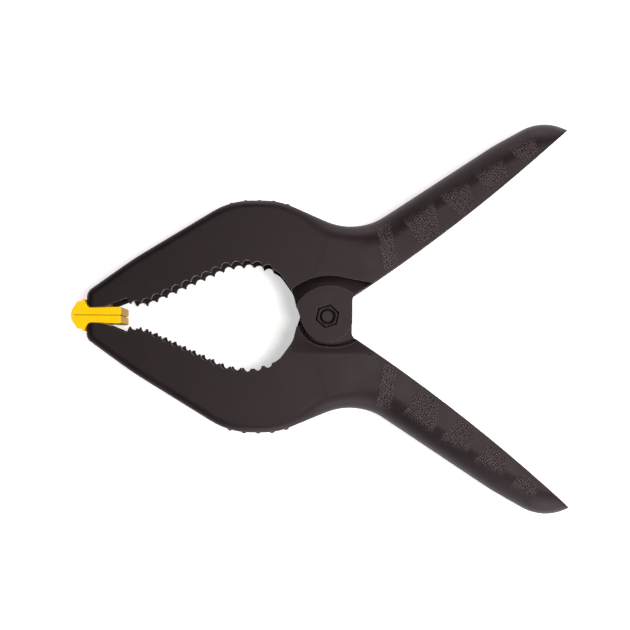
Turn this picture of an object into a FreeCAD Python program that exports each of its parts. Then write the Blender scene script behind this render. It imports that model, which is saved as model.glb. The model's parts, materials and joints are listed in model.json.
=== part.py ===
"""Spring clamp for model making: two moulded levers on one bolt, a torsion spring and two swivel pads.

The clamp lies flat on its side. X runs from the jaws (-X) to the handles (+X), Y across the
clamp with the upper lever at +Y, and Z up along the pivot bolt. The origin is the centre of the
underside of the overall box. Shapes are drawn about the pivot axis and moved there at the end.
All sizes are in millimetres and all angles in degrees.
"""

import os

import FreeCAD
import Part

from math import acos, asin, atan2, ceil, cos, hypot, pi, radians, sin, sqrt, tan

Vector = FreeCAD.Vector

# Overall width of the clamp along the bolt, and the thickness of its moulded walls
clamp_width = 30.0
side_wall = 3.0
spine_wall = 3.2

# Where the outline of a lever reaches, measured from the pivot
tip_back_height = 11.0
jaw_bend_x = -90.6
jaw_bend_height = 26.5
hump_front_x = -45.3
hump_rear_x = -23.2
hump_height = 54.2
waist_x = 14.2
waist_height = 39.1
handle_reach = 113.2
handle_bow_before_end = 35.2
handle_bow_height = 81.2
handle_shoulder_before_end = 12.2
handle_shoulder_height = 94.1
handle_end_slope = 21.7

# Radii that round the corners of the outer outline
tip_back_radius = 5.0
jaw_bend_radius = 150.0
hump_front_radius = 36.0
hump_rear_radius = 34.0
waist_radius = 29.0
handle_bow_radius = 90.0
handle_shoulder_radius = 22.0

# Rounding of the spine, small on the jaw and large where the hand closes on the handle
jaw_edge_round = 3.6
handle_edge_round = 8.0

# The hollow inside a lever: its bevelled edges and its sharpest corner
hollow_bevel = 1.6
hollow_corner_radius = 2.0

# Open side of a handle: its inner edge runs out from the neck in one long shallow bend
handle_root_x = 14.5
handle_root_height = 11.3
handle_inner_x = 61.5
handle_inner_height = 42.75
handle_inner_end_height = 88.6

# Throat between the jaws
heel_x = -93.2
heel_height = 8.2
first_tooth_x = -91.8
first_tooth_height = 5.3
second_tooth_x = -86.6
throat_bend_x = -47.2
throat_bend_height = 23.3
throat_top_x = -35.4
throat_top_height = 24.7
throat_rear_x = -22.8
throat_rear_height = 21.0
throat_neck_x = -16.0
throat_neck_height = 11.6
throat_radius = 9.0

# Teeth along the throat
tooth_count = 14
tooth_pitch = 5.04
tooth_depth = 1.6
tooth_land = 0.5
gullet_flank_run = 0.4
gullet_flank_share = 0.42

# Swivel bar at the tip of a jaw, and the underside of the jaw tip in front of the heel
bar_x = -105.6
bar_height = 9.0
bar_diameter = 3.2
tip_front_reach = 6.5
tip_depth = 5.2
tip_corner_radius = 3.2
tip_slope_x = -103.8
tip_slope_radius = 6.0

# Neck of a lever and its two ears on the bolt
neck_rear_x = 11.6
neck_front_x = -14.4
neck_front_height = 4.9
neck_root_radius = 4.0
neck_foot_radius = 0.5
handle_bend_radius = 800.0
outer_ear_radius = 12.1
inner_ear_radius = 12.8
outer_ear_thickness = 5.5
inner_ear_thickness = 2.5
hub_radius = 21.0

# Pocket in the face of a lever for the ear of the other one
pocket_gap = 0.9
pocket_swing_x = 2.4
pocket_swing_drop = 8.4
pocket_swing_radius = 21.6
pocket_bevel = 1.4

# Hollow crescent above the outer ear
crescent_x = 1.2
crescent_low_drop = 4.2
crescent_low_radius = 18.3
crescent_high_drop = 8.5
crescent_high_radius = 27.5
crescent_run_x = 9.0
crescent_run_slope = 10.0
crescent_depth = 1.6

# Low ribs across the hump
rib_count = 5
rib_pitch = 6.5
rib_front_x = -45.0
rib_radius = 1.6
rib_height = 0.7
rib_side_margin = 6.5

# Pivot bolt, nut and spacer sleeve
bolt_diameter = 6.0
hex_width = 10.0
head_height = 4.0
nut_height = 3.2
hex_pocket_depth = 4.2
bolt_end_bevel = 0.5
bolt_end_stand = 0.3
hex_turn = 17.3
hex_crown_share = 0.95
hex_bevel_angle = 30.0
sleeve_wall = 1.8

# Torsion spring
wire_diameter = 2.5
coil_radius = 9.2
coil_whole_turns = 3
coil_pitch = 3.35
spring_leg_length = 58.0
spring_leg_gap = 0.3
wire_sides = 12

# Pads
pad_nose_reach = 119.0
pad_nose_bend_x = -118.4
pad_nose_bend_height = 2.6
pad_nose_top_x = -115.9
pad_nose_height = 6.3
pad_lip_x = -113.3
pad_lip_height = 6.6
pad_collar_height = 7.4
pad_collar_width = 0.9
pad_front_hollow = 7.4
pad_round_radius = 4.0
pad_soft_radius = 1.0
pad_edge_radius = 0.5
pad_tip_radius = 0.2
pad_rear_x = -95.9
pad_rear_rise = 2.2
pad_lug_rear_x = -103.3
pad_lug_rear_height = 5.6
pad_side_relief = 0.3
clip_wall = 1.15
clip_foot = 0.5
clip_slot = 2.3
lug_neck_width = 3.6

# Clearances
running_clearance = 0.06
side_clearance = 0.3
pad_clearance = 0.3
jaw_gap = 0.3
hex_clearance = 0.1
sleeve_end_clearance = 0.3

# Sizes worked out from the ones above
below = 45.0
beyond = 20.0
ear_plane = outer_ear_thickness + side_clearance
hub_thickness = ear_plane + inner_ear_thickness
bore_radius = bolt_diameter / 2 + running_clearance
bar_radius = bar_diameter / 2
tip_front_x = bar_x - tip_front_reach
handle_bow_x = handle_reach - handle_bow_before_end
handle_shoulder_x = handle_reach - handle_shoulder_before_end
plate_top = bar_height - tip_depth - pad_clearance
clip_bore = bar_radius + running_clearance
clip_radius = clip_bore + clip_wall


def at(x, y, z=0.0):
    """A point given from the pivot axis."""
    return Vector(x, y, z)


def rounded_chain(points, radii):
    """Edges of an open chain of straight runs whose inner corners are rounded by tangent arcs."""
    runs = [(b - a).Length for a, b in zip(points, points[1:])]
    ways = [(b - a).normalize() for a, b in zip(points, points[1:])]
    halves = [(pi - a.getAngle(b)) / 2 for a, b in zip(ways, ways[1:])]
    reaches = [0.0] + [r / tan(h) for r, h in zip(radii, halves)] + [0.0]
    shares = [min(1.0, 0.98 * run / (a + b)) for run, a, b in zip(runs, reaches, reaches[1:])]
    edges = []
    start = points[0]
    for i in range(1, len(points) - 1):
        reach = reaches[i] * min(shares[i - 1], shares[i])
        radius = reach * tan(halves[i - 1])
        first = points[i] - ways[i - 1] * reach
        last = points[i] + ways[i] * reach
        inward = (ways[i] - ways[i - 1]).normalize()
        middle = points[i] + inward * (radius / sin(halves[i - 1]) - radius)
        edges.append(Part.makeLine(start, first))
        edges.append(Part.Arc(first, middle, last).toShape())
        start = last
    edges.append(Part.makeLine(start, points[-1]))
    return edges


def inset_corners(points, radii, inset):
    """Corners and radii of the same chain drawn a distance inside it, on its right-hand side."""
    ways = [(b - a).normalize() for a, b in zip(points, points[1:])]
    sides = [at(way.y, -way.x) for way in ways]
    moved = [points[0] + sides[0] * inset]
    inner_radii = []
    for i in range(1, len(points) - 1):
        a, b = sides[i - 1], sides[i]
        moved.append(points[i] + (a + b) * (inset / (1 + a.dot(b))))
        hollow = ways[i - 1].cross(ways[i]).z > 0
        inner = radii[i - 1] + inset if hollow else radii[i - 1] - inset
        inner_radii.append(max(inner, hollow_corner_radius))
    moved.append(points[-1] + sides[-1] * inset)
    return moved, inner_radii


def polygon_edges(points):
    """Straight edges through the points in turn."""
    return [Part.makeLine(a, b) for a, b in zip(points, points[1:])]


def plate(edges, low, high):
    """A plate with the closed outline given by its edges, between two heights."""
    face = Part.Face(Part.Wire(edges))
    face.translate(at(0, 0, low))
    return face.extrude(at(0, 0, high - low))


def disc(radius, low, high, x=0.0, y=0.0):
    """A round plate about a point."""
    return Part.makeCylinder(radius, high - low, at(x, y, low))


def box(x_low, x_high, y_low, y_high, z_low, z_high):
    """A block between two corners."""
    return Part.makeBox(x_high - x_low, y_high - y_low, z_high - z_low, at(x_low, y_low, z_low))


def hexagon(width, low, high, turn):
    """A hexagonal prism about the pivot axis, its first corner at an angle from X."""
    corner = width / 2 / cos(pi / 6)
    angles = [radians(turn + 60 * k) for k in range(6)]
    points = [at(corner * cos(a), corner * sin(a)) for a in angles]
    return plate(polygon_edges(points + points[:1]), low, high)


def outer_corners():
    """Corners of a lever's outer outline, from under the jaw tip round to past the handle's end."""
    past_end = handle_reach + beyond
    end_drop = (past_end - handle_shoulder_x) * tan(radians(handle_end_slope))
    return [
        at(tip_front_x, -below),
        at(tip_front_x, tip_back_height),
        at(jaw_bend_x, jaw_bend_height),
        at(hump_front_x, hump_height),
        at(hump_rear_x, hump_height),
        at(waist_x, waist_height),
        at(handle_bow_x, handle_bow_height),
        at(handle_shoulder_x, handle_shoulder_height),
        at(past_end, handle_shoulder_height - end_drop),
    ]


def outer_radii():
    """Radii at the inner corners of the outer outline."""
    return [
        tip_back_radius,
        jaw_bend_radius,
        hump_front_radius,
        hump_rear_radius,
        waist_radius,
        handle_bow_radius,
        handle_shoulder_radius,
    ]


def spine_rolls(edge_count):
    """Radius of the rounded spine at the start and end of each edge of the outer outline."""
    jaw, handle = jaw_edge_round, handle_edge_round
    rear = [(jaw, handle)] + [(handle, handle)] * 6
    return [(jaw, jaw)] * (edge_count - len(rear)) + rear


def numbered_edge(shape, point):
    """Number of the edge of a shape that passes through a point."""
    probe = Part.Vertex(point)
    gaps = [edge.distToShape(probe)[0] for edge in shape.Edges]
    return gaps.index(min(gaps)) + 1


def with_rolled_edges(shape, rolls):
    """The shape with some edges rounded, each by a radius that runs evenly from end to end."""
    document = FreeCAD.newDocument("rolled")
    source = document.addObject("Part::Feature", "Blank")
    source.Shape = shape
    rolled = document.addObject("Part::Fillet", "Rolled")
    rolled.Base = source
    rolled.Edges = rolls
    document.recompute()
    result = rolled.Shape.copy()
    FreeCAD.closeDocument(document.Name)
    return result


def spine_plate(chain, low, high):
    """A thick plate with the outline of a lever, and the numbers of its spine edges in pairs."""
    first, last = chain[0].firstVertex().Point, chain[-1].lastVertex().Point
    body = plate(chain + polygon_edges([last, at(last.x, first.y), first]), low, high)
    pairs = []
    for edge in chain:
        middle = edge.valueAt((edge.FirstParameter + edge.LastParameter) / 2)
        pairs.append([numbered_edge(body, at(middle.x, middle.y, z)) for z in (low, high)])
    return body, pairs


def lever_blank():
    """The lever before its open side is cut, as a thick plate with a rolled spine."""
    chain = rounded_chain(outer_corners(), outer_radii())
    body, pairs = spine_plate(chain, 0.0, clamp_width)
    rolls = []
    for pair, (first, last) in zip(pairs, spine_rolls(len(chain))):
        rolls += [(number, first, last) for number in pair]
    return with_rolled_edges(body, rolls)


def hollow_blank():
    """The room inside the spine and the side walls, with bevelled edges."""
    corners, radii = inset_corners(outer_corners(), outer_radii(), spine_wall)
    chain = rounded_chain(corners, radii)
    body, pairs = spine_plate(chain, side_wall, clamp_width - side_wall)
    return body.makeChamfer(hollow_bevel, [body.Edges[n - 1] for pair in pairs for n in pair])


def along(edges, distance):
    """Point and direction of travel at a distance along a chain, and the edges left after it."""
    for i, edge in enumerate(edges):
        if distance <= edge.Length or i == len(edges) - 1:
            here = edge.getParameterByLength(distance)
            rest = [edge.Curve.toShape(here, edge.LastParameter)] + edges[i + 1:]
            return edge.valueAt(here), edge.tangentAt(here), rest
        distance -= edge.Length


def throat_chain():
    """The line of the tooth tips and the smooth throat behind them, from jaw tip to neck."""
    corners = [
        at(first_tooth_x, first_tooth_height),
        at(second_tooth_x, first_tooth_height),
        at(throat_bend_x, throat_bend_height),
        at(throat_top_x, throat_top_height),
        at(throat_rear_x, throat_rear_height),
        at(throat_neck_x, throat_neck_height),
        at(neck_front_x, neck_front_height),
    ]
    return rounded_chain(corners, [throat_radius] * 5)


def gullet(chain, start):
    """Edges of one tooth land and the round gullet behind it, from a distance along the chain."""
    tip, _, _ = along(chain, start)
    first, _, _ = along(chain, start + tooth_land)
    last, _, _ = along(chain, start + tooth_pitch)
    middle, way, _ = along(chain, start + (tooth_land + tooth_pitch) / 2)
    into = at(-way.y, way.x)
    shoulder = into * (tooth_depth * gullet_flank_share)
    low = first + way * gullet_flank_run + shoulder
    high = last - way * gullet_flank_run + shoulder
    arc = Part.Arc(low, middle + into * tooth_depth, high).toShape()
    return [Part.makeLine(tip, first), Part.makeLine(first, low), arc, Part.makeLine(high, last)]


def toothed_edges():
    """Edges of the open side of a jaw, from the first tooth to the neck."""
    chain = throat_chain()
    edges = []
    for k in range(tooth_count):
        edges += gullet(chain, k * tooth_pitch)
    _, _, rest = along(chain, tooth_count * tooth_pitch)
    return edges + rest


def jaw_tip_edges(far):
    """Edges of the underside of the jaw tip: round the front corner, level, then up to the heel."""
    under = bar_height - tip_depth
    corner_share = 1 - cos(pi / 4)
    middle = at(tip_front_x + tip_corner_radius * corner_share, under + tip_corner_radius * corner_share)
    shoulder = at(tip_front_x, under + tip_corner_radius)
    level = at(tip_front_x + tip_corner_radius, under)
    heel = at(heel_x, heel_height)
    tooth = at(first_tooth_x, first_tooth_height)
    corner = Part.Arc(shoulder, middle, level).toShape()
    slope = rounded_chain([level, at(tip_slope_x, under), heel], [tip_slope_radius])
    return [Part.makeLine(far, shoulder), corner] + slope + [Part.makeLine(heel, tooth)]


def open_side(low, high):
    """Everything on the open side of a lever, to be cut away from its blank."""
    far_x = max(pad_nose_reach, handle_reach) + 2 * beyond
    start = at(-far_x, bar_height - tip_depth + tip_corner_radius)
    neck_front = at(neck_front_x, neck_front_height)
    root_radius = handle_root_x - neck_rear_x
    run = at(handle_inner_x, handle_inner_height) - at(handle_root_x, handle_root_height)
    end = at(handle_reach, handle_inner_end_height)
    neck = rounded_chain(
        [
            at(0, 0),
            at(neck_rear_x, 0),
            at(neck_rear_x, handle_root_height - root_radius * run.y / run.x),
            at(handle_inner_x, handle_inner_height),
            end,
        ],
        [neck_foot_radius, neck_root_radius, handle_bend_radius],
    )
    above = handle_shoulder_height + beyond
    outside = [end, at(end.x, above), at(far_x, above), at(far_x, -2 * below), at(-far_x, -2 * below), start]
    closing = polygon_edges(outside)
    edges = jaw_tip_edges(start) + toothed_edges() + [Part.makeLine(neck_front, at(0, 0))]
    return plate(edges + neck + closing, low, high)


def channel():
    """The hollow inside a lever, which the hub leaves narrower round the pivot."""
    low, high = side_wall, clamp_width - side_wall
    hub_low = disc(hub_radius, 0, hub_thickness)
    hub_high = disc(hub_radius, clamp_width - hub_thickness, clamp_width)
    clip_room = disc(clip_radius + pad_clearance, low, high, bar_x, bar_height)
    lug_front = bar_x - lug_neck_width / 2 - pad_clearance
    lug_room = box(lug_front, bar_x, 0, bar_height, low, high)
    return hollow_blank().cut([hub_low, hub_high]).fuse([clip_room, lug_room])


def outer_ear():
    """The ear on the outside of the clamp, round below and flared towards the jaw."""
    low, high = clamp_width - outer_ear_thickness, clamp_width
    flare = at(neck_front_x, neck_front_height)
    spread = acos(outer_ear_radius / flare.Length)
    angle = atan2(flare.y, flare.x) + spread
    tangent = at(outer_ear_radius * cos(angle), outer_ear_radius * sin(angle))
    side = plate(polygon_edges([flare, tangent, at(0, 0), flare]), low, high)
    beyond_neck = box(neck_rear_x, 2 * outer_ear_radius, -below, below, low, high)
    return disc(outer_ear_radius, low, high).fuse(side).cut(beyond_neck)


def inner_ear():
    """The thin ear that lies inside the other lever's outer ear."""
    low, high = ear_plane, hub_thickness
    beyond_neck = box(neck_rear_x, 2 * inner_ear_radius, -below, below, low, high)
    return disc(inner_ear_radius, low, high).cut(beyond_neck)


def pocket():
    """The pocket in the underside for the other lever's outer ear, with its bevelled rim."""
    round_radius = outer_ear_radius + pocket_gap
    swing_y = -pocket_swing_drop
    round_part = disc(round_radius, 0, ear_plane)
    swing_part = disc(pocket_swing_radius, 0, ear_plane, pocket_swing_x, swing_y)
    round_rim = Part.makeCone(round_radius + pocket_bevel, round_radius, pocket_bevel)
    swing_rim = Part.makeCone(
        pocket_swing_radius + pocket_bevel,
        pocket_swing_radius,
        pocket_bevel,
        at(pocket_swing_x, swing_y),
    )
    left = box(-below, 0, -below, below, 0, ear_plane)
    swing = swing_part.fuse(swing_rim).cut(left)
    return round_part.fuse([round_rim, swing])


def inner_ear_room():
    """The space above the outer ear in which the other lever's inner ear turns."""
    low = clamp_width - hub_thickness - side_clearance
    high = clamp_width - outer_ear_thickness
    return disc(inner_ear_radius + side_clearance, low, high)


def crescent():
    """The hollow crescent between the outer ear and the flank of the lever."""
    low = clamp_width - crescent_depth
    outer = disc(crescent_high_radius, low, clamp_width, crescent_x, -crescent_high_drop)
    inner = disc(crescent_low_radius, low, clamp_width, crescent_x, -crescent_low_drop)
    lift = sqrt(crescent_high_radius ** 2 - (crescent_run_x - crescent_x) ** 2)
    top = at(crescent_run_x, lift - crescent_high_drop)
    far = at(top.x + below, top.y - below * tan(radians(crescent_run_slope)))
    run = plate(polygon_edges([top, far, at(far.x, 0), at(top.x, 0), top]), low, clamp_width)
    return outer.fuse(run).cut(inner)


def hump_ribs():
    """Low ribs across the hump of the spine."""
    outline = Part.Wire(rounded_chain(outer_corners(), outer_radii()))
    ribs = []
    for k in range(rib_count):
        x = rib_front_x + k * rib_pitch
        upright = Part.makeLine(at(x, 0), at(x, 2 * hump_height))
        crown = outline.distToShape(upright)[1][0][0]
        low, high = rib_side_margin, clamp_width - rib_side_margin
        ribs.append(disc(rib_radius, low, high, x, crown.y - rib_radius + rib_height))
    return ribs


def lever():
    """One lever, drawn as the upper one. The lower one is the same moulding turned over."""
    body = lever_blank().cut([open_side(0.0, clamp_width), channel()])
    body = body.cut([pocket(), inner_ear_room(), crescent()])
    bar = disc(bar_radius, side_wall / 2, clamp_width - side_wall / 2, bar_x, bar_height)
    body = body.fuse([outer_ear(), inner_ear(), bar] + hump_ribs())
    width = hex_width + 2 * hex_clearance
    nut_pocket = hexagon(width, clamp_width - hex_pocket_depth, clamp_width, hex_turn)
    return body.cut([nut_pocket, disc(bore_radius, 0, clamp_width)]).removeSplitter()


def bevelled_hexagon(low, high):
    """A hexagonal nut whose upper corners are turned off."""
    corner = hex_width / 2 / cos(pi / 6)
    crown = hex_width / 2 * hex_crown_share
    bevel = (corner - crown) * tan(radians(hex_bevel_angle))
    cone = Part.makeCone(corner, crown, bevel, at(0, 0, high - bevel))
    return hexagon(hex_width, low, high, hex_turn).common(disc(corner, low, high - bevel).fuse(cone))


def pivot_bolt():
    """Hexagon bolt, its head in the underside pocket and its bevelled end in the nut."""
    seat = hex_pocket_depth
    end = clamp_width - hex_pocket_depth + nut_height + bolt_end_stand
    radius = bolt_diameter / 2
    head = turned_over(bevelled_hexagon(clamp_width - seat, clamp_width - seat + head_height))
    shank = disc(radius, seat, end - bolt_end_bevel)
    bevel_foot = at(0, 0, end - bolt_end_bevel)
    tip = Part.makeCone(radius, radius - bolt_end_bevel, bolt_end_bevel, bevel_foot)
    return head.fuse([shank, tip]).removeSplitter()


def pivot_nut():
    """Thin hexagon nut in the pocket of the upper lever's outer ear."""
    seat = clamp_width - hex_pocket_depth
    top = seat + nut_height
    mouth_foot = at(0, 0, top - bolt_end_bevel)
    mouth = Part.makeCone(bore_radius, bore_radius + bolt_end_bevel, bolt_end_bevel, mouth_foot)
    return bevelled_hexagon(seat, top).cut([disc(bore_radius, seat, top), mouth])


def spacer_sleeve():
    """Tube on the bolt that keeps the inner ears apart inside the spring."""
    low = hub_thickness + sleeve_end_clearance
    high = clamp_width - hub_thickness - sleeve_end_clearance
    return disc(bore_radius + sleeve_wall, low, high).cut(disc(bore_radius, low, high))


def pad():
    """The upper pad: a plate under the jaw tip, a nose in front of it and a clip on the swivel bar."""
    low, high = pad_side_relief, clamp_width - pad_side_relief
    face = jaw_gap / 2
    centre = at(bar_x, bar_height)
    drop = bar_height - pad_collar_height
    hollow_top = centre + at(-sqrt(pad_front_hollow ** 2 - drop ** 2), -drop)
    depth = bar_height - plate_top
    hollow_low = centre + at(-sqrt(pad_front_hollow ** 2 - depth ** 2), -depth)
    angle = (atan2(-drop, hollow_top.x - bar_x) + atan2(-depth, hollow_low.x - bar_x)) / 2
    hollow_middle = centre + at(pad_front_hollow * cos(angle), pad_front_hollow * sin(angle))
    rear_top = plate_top + (pad_rear_x - bar_x) * tan(radians(pad_rear_rise))
    outline = [
        at(bar_x, plate_top),
        at(pad_rear_x, rear_top),
        at(pad_rear_x, face),
        at(-pad_nose_reach, face),
        at(pad_nose_bend_x, pad_nose_bend_height),
        at(pad_nose_top_x, pad_nose_height),
        at(pad_lip_x, pad_lip_height),
        at(hollow_top.x - pad_collar_width, pad_collar_height),
        hollow_top,
    ]
    edge, soft = pad_edge_radius, pad_soft_radius
    outer = rounded_chain(outline, [edge, edge, pad_tip_radius, pad_round_radius, soft, soft, edge])
    arc = Part.Arc(hollow_top, hollow_middle, hollow_low).toShape()
    plate_body = plate(outer + [arc, Part.makeLine(hollow_low, outline[0])], low, high)
    return plate_body.fuse(clip()).removeSplitter()


def clip():
    """The lug that stands in the jaw channel and snaps round the swivel bar."""
    low = side_wall + pad_clearance
    high = clamp_width - side_wall - pad_clearance
    foot = plate_top - clip_foot
    half = lug_neck_width / 2
    gusset = [
        at(bar_x - half, foot),
        at(pad_lug_rear_x, foot),
        at(pad_lug_rear_x, pad_lug_rear_height),
        at(bar_x + half, bar_height - clip_bore),
        at(bar_x - half, bar_height - clip_bore),
        at(bar_x - half, foot),
    ]
    ring = disc(clip_radius, low, high, bar_x, bar_height)
    stem = plate(polygon_edges(gusset), low, high)
    slot_half = clip_slot / 2
    slot_top = bar_height + 2 * clip_radius
    slot = box(bar_x - slot_half, bar_x + slot_half, bar_height, slot_top, low, high)
    return ring.fuse(stem).cut([disc(clip_bore, low, high, bar_x, bar_height), slot])


def leg_angle():
    """Angle of a spring leg that lies along the inside of the handle's spine at its free end."""
    slope = atan2(handle_bow_height - waist_height, handle_bow_x - waist_x)
    spine_distance = waist_height * cos(slope) - waist_x * sin(slope)
    wanted = spine_distance - spine_wall - wire_diameter / 2 - spring_leg_gap
    reach = hypot(spring_leg_length, coil_radius)
    return slope + asin(wanted / reach) - atan2(coil_radius, spring_leg_length)


def coil_turning():
    """Whole angle through which the coil winds, in radians."""
    return 2 * pi * coil_whole_turns + pi - 2 * leg_angle()


def coil_point(turned):
    """Point on the coil's centre line and its direction, after an angle from the lower leg."""
    total = coil_turning()
    ease = pi / 2
    climb = coil_pitch / (2 * pi)
    height = climb * (total - ease)
    base = (clamp_width - height) / 2
    if turned < ease:
        z, rate = climb * turned ** 2 / (2 * ease), climb * turned / ease
    elif turned > total - ease:
        left = total - turned
        z, rate = height - climb * left ** 2 / (2 * ease), climb * left / ease
    else:
        z, rate = climb * (turned - ease / 2), climb
    angle = 3 * pi / 2 - leg_angle() - turned
    place = at(coil_radius * cos(angle), coil_radius * sin(angle), base + z)
    way = at(coil_radius * sin(angle), -coil_radius * cos(angle), rate).normalize()
    return place, way


def arc_between(start, corner, end):
    """The arc that touches both equal tangents from a corner."""
    middle = (start + end) * 0.5
    half_chord = (end - start).Length / 2
    tangent = (corner - start).Length
    rise = half_chord * tan(acos(half_chord / tangent) / 2)
    return Part.Arc(start, middle + (corner - middle).normalize() * rise, end).toShape()


def biarc(start, way_in, end, way_out):
    """Two tangent arcs from one point and direction to another."""
    span = end - start
    ways = way_in + way_out
    a = ways.dot(ways) - 4
    b = span.dot(ways)
    tangent = (b - sqrt(b * b - a * span.dot(span))) / a
    first = start + way_in * tangent
    second = end - way_out * tangent
    joint = (first + second) * 0.5
    return [arc_between(start, first, joint), arc_between(joint, second, end)]


def spring_path():
    """Centre line of the spring: the lower leg, the coil in half turns, and the upper leg."""
    total = coil_turning()
    steps = ceil(total / pi)
    places = [coil_point(total * k / steps) for k in range(steps + 1)]
    first, way_in = places[0]
    last, way_out = places[-1]
    edges = [Part.makeLine(first - way_in * spring_leg_length, first)]
    for (a, way_a), (b, way_b) in zip(places, places[1:]):
        edges += biarc(a, way_a, b, way_b)
    edges.append(Part.makeLine(last, last + way_out * spring_leg_length))
    return edges


def least_coil_gap():
    """Least clear distance between one turn of the coil and the next, measured on points."""
    total = coil_turning()
    samples = [coil_point(total * k / 720)[0] for k in range(721)]
    apart = int(720 * pi / total)
    least = min((a - b).Length for i, a in enumerate(samples) for b in samples[i + apart:])
    return least - wire_diameter


def torsion_spring():
    """The wire, with its round section drawn as a many-sided one, swept along its centre line."""
    edges = spring_path()
    start = edges[0].Vertexes[0].Point
    way = edges[0].tangentAt(edges[0].FirstParameter)
    across = way.cross(Vector(0, 0, 1)).normalize()
    turns = [2 * pi * k / wire_sides for k in range(wire_sides + 1)]
    rim = [start + (across * cos(a) + Vector(0, 0, 1) * sin(a)) * (wire_diameter / 2) for a in turns]
    section = Part.Wire(polygon_edges(rim))
    wire = Part.Wire(edges).makePipeShell([section], True, False)
    length = sum(edge.Length for edge in edges)
    expected = length * Part.Face(section).Area
    print("spring least gap to itself", round(least_coil_gap(), 2), "mm")
    print("spring volume over section times length", round(wire.Volume / expected, 4))
    return wire


def turned_over(shape):
    """A copy of a shape turned over about the line between the jaws."""
    copy = shape.copy()
    copy.rotate(at(0, 0, clamp_width / 2), Vector(1, 0, 0), 180)
    return copy


def main():
    """Makes every piece and writes it under its name."""
    upper_lever = lever()
    upper_pad = pad()
    pieces = {
        "upper_lever": upper_lever,
        "lower_lever": turned_over(upper_lever),
        "upper_pad": upper_pad,
        "lower_pad": turned_over(upper_pad),
        "torsion_spring": torsion_spring(),
        "pivot_bolt": pivot_bolt(),
        "pivot_nut": pivot_nut(),
        "spacer_sleeve": spacer_sleeve(),
    }
    boxes = [shape.BoundBox for shape in pieces.values()]
    pivot_x = -(min(b.XMin for b in boxes) + max(b.XMax for b in boxes)) / 2
    print("pivot axis at x", round(pivot_x, 3))
    os.makedirs("parts", exist_ok=True)
    for name, shape in pieces.items():
        piece = shape.copy()
        piece.translate(at(pivot_x, 0))
        solid = piece.Solids[0] if len(piece.Solids) == 1 else piece
        solid.exportStep(os.path.join("parts", name + ".step"))
        print(name, "valid", solid.isValid(), "solids", len(piece.Solids), "volume", round(solid.Volume))


main()
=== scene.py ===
# %% [markdown]
# # A spring clamp in black nylon
#
# The object is a hand clamp for model making. Squeezing the handles opens the jaws, and a
# torsion spring on the pivot bolt closes them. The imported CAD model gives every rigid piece.
# This lesson adds what a mould and a maker leave on them: the fine grain of moulded nylon, the
# leather-like pebbles of the grips, the dull black nut, the wound spring and the yellow pads.
# Shapes are worked out in millimetres from the pivot, and `mm` turns them into metres.

# %% The frame
import json
import math

import bpy
import numpy as np
from mathutils import Matrix, Vector


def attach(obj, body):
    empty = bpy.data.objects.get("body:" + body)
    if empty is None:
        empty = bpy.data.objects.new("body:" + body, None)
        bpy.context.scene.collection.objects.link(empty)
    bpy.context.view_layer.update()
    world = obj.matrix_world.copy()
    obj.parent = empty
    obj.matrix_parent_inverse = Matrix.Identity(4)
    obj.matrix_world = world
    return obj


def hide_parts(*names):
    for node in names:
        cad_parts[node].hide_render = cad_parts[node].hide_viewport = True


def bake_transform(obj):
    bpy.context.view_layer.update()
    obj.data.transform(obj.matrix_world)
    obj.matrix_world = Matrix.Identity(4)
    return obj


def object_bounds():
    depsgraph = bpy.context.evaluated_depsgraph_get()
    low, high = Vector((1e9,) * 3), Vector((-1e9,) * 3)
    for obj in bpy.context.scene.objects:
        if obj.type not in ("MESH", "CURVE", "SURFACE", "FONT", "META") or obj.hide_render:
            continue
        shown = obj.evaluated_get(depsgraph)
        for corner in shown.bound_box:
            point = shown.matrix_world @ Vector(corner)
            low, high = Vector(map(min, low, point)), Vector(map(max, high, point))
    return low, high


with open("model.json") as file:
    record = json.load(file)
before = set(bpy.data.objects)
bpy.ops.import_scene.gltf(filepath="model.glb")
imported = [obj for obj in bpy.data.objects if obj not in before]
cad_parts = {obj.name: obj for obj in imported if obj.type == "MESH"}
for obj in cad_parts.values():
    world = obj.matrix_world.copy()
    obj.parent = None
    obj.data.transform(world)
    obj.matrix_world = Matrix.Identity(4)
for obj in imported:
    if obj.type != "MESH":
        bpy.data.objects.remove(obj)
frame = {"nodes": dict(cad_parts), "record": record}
cad_box = [list(corner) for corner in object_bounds()]
mm = 0.001
record = frame["record"]
hinge = next(joint for joint in record["behaviour"]["joints"] if joint["name"] == "jaw_pivot")
pivot = Vector(hinge["pos_m"])
bolt_line = np.array([pivot.x, pivot.y, 0])
near_face = cad_box[1][2]
clamp_width = 30.0
print("nodes", sorted(frame["nodes"]), "pivot", [round(v, 4) for v in pivot])

# %% [markdown]
# ## Where the camera stands
#
# The photographer stood almost straight above the flat clamp. Lines that run along the bolt
# still meet at one point of the picture, below and left of its middle, and that point gives
# the camera's tilt. The width of the near face against the far one gives its height. This is
# surer than turning a camera by eye, because each number is read from the picture by itself.

# %% The camera
picture_px = 630
sensor_mm = 36.0
metres_per_px = 0.464 * mm
stand_height = 0.608
vanish_px = (297.2, 366.5)
pivot_px = (327.4, 316.2)
roll = math.radians(0.29)

focal_px = stand_height / metres_per_px
centre_px = picture_px / 2
down = Vector((vanish_px[0] - centre_px, centre_px - vanish_px[1], -focal_px)).normalized()
row_z = -down
row_x = Vector((math.cos(roll), -math.sin(roll), 0))
row_x = (row_x - row_z * row_x.dot(row_z)).normalized()
row_y = row_z.cross(row_x)
offset = Vector((pivot_px[0] - vanish_px[0], vanish_px[1] - pivot_px[1])) * metres_per_px
along_x = offset.x * math.cos(roll) - offset.y * math.sin(roll)
along_y = offset.x * math.sin(roll) + offset.y * math.cos(roll)
stand = Vector((pivot.x - along_x, pivot.y - along_y, near_face + stand_height))

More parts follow.
